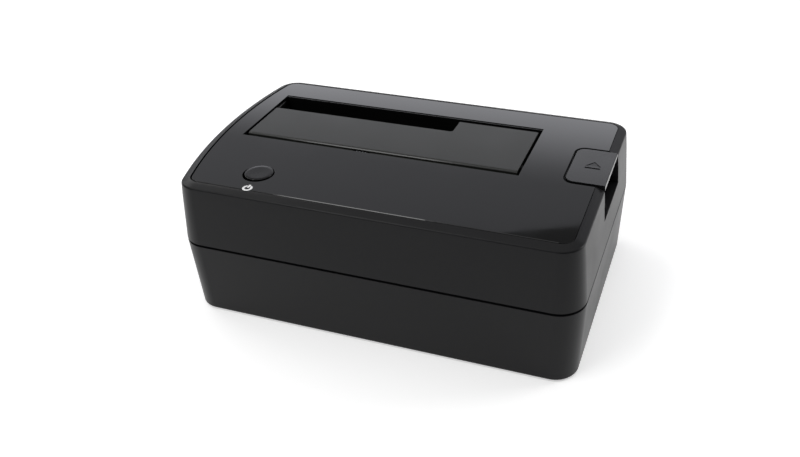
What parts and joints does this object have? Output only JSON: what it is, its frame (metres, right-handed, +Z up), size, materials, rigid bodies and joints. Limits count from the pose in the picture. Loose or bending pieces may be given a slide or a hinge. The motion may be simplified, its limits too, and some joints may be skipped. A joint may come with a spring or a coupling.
{
  "type": "hard drive docking station",
  "caption": "Black desktop dock that holds a bare disk drive upright in a flap-covered top slot, with a power button and an eject tab.",
  "frame": {"origin": "middle of the footprint, on the table under the feet", "axes": "+X to the right along the front, +Y to the back with the sockets, +Z up"},
  "size_m": [0.1476, 0.0918, 0.052],
  "materials": {
    "case_plastic": "fine-textured black moulding",
    "panel_gloss": "polished black plate",
    "flap_plastic": "matt dark grey moulding",
    "steel": "plain bright steel",
    "spring_steel": "drawn spring wire",
    "board": "green solder mask on glass epoxy",
    "chip": "black moulded package",
    "contacts": "gold-plated contact strip",
    "insert_blue": "blue moulded insert",
    "lead": "grey flat lead",
    "feet": "soft black pads"
  },
  "bodies": {
    "housing": {"base_shell": "case_plastic", "top_shell": "case_plastic", "top_panel": "panel_gloss", "drive_well": "case_plastic", "flap_spring": "spring_steel", "lever_pin": "steel", "eject_spring": "spring_steel", "main_board": "board", "sata_socket": "chip", "sata_contacts": "contacts", "usb_shell": "steel", "usb_tongue": "insert_blue", "dc_jack": "chip", "dc_pin": "steel", "bridge_chip": "chip", "flash_chip": "chip", "crystal": "steel", "power_coils": "chip", "capacitors": "chip", "switch_board": "board", "tact_switch": "chip", "switch_lead": "lead", "case_screws": "steel", "board_screws": "steel", "well_screws": "steel", "switch_board_screws": "steel", "rubber_feet": "feet"},
    "flap": {"flap": "flap_plastic", "flap_rod": "steel"},
    "power_button": {"power_button": "case_plastic", "switch_plunger": "chip"},
    "eject_button": {"eject_button": "case_plastic"},
    "eject_lever": {"eject_lever": "flap_plastic"}
  },
  "joints": [
    {"name": "flap_hinge", "type": "hinge", "parent": "housing", "child": "flap", "pos_m": [-0.00885, -0.00315, 0.0482], "axis": [-1, 0, 0], "range_deg": [0, 88], "stiffness_Nm_per_rad": 0.004, "springref_deg": -28.65, "deforming": ["flap_spring"]},
    {"name": "power_press", "type": "slide", "parent": "housing", "child": "power_button", "axis": [0, 0, -1], "range_m": [0, 0.001], "stiffness_N_per_m": 1500, "springref_m": -0.0003},
    {"name": "eject_press", "type": "slide", "parent": "housing", "child": "eject_button", "axis": [0, 0, -1], "range_m": [0, 0.004], "stiffness_N_per_m": 800, "springref_m": -0.001, "deforming": ["eject_spring"]},
    {"name": "lever_turn", "type": "hinge", "parent": "housing", "child": "eject_lever", "pos_m": [0.0363, 0.02255, 0.0117], "axis": [0, 1, 0], "range_deg": [0, 9.4]}
  ],
  "couplings": [
    {"joint": "lever_turn", "follows": "eject_press", "rad_per_m": 40.816}
  ]
}
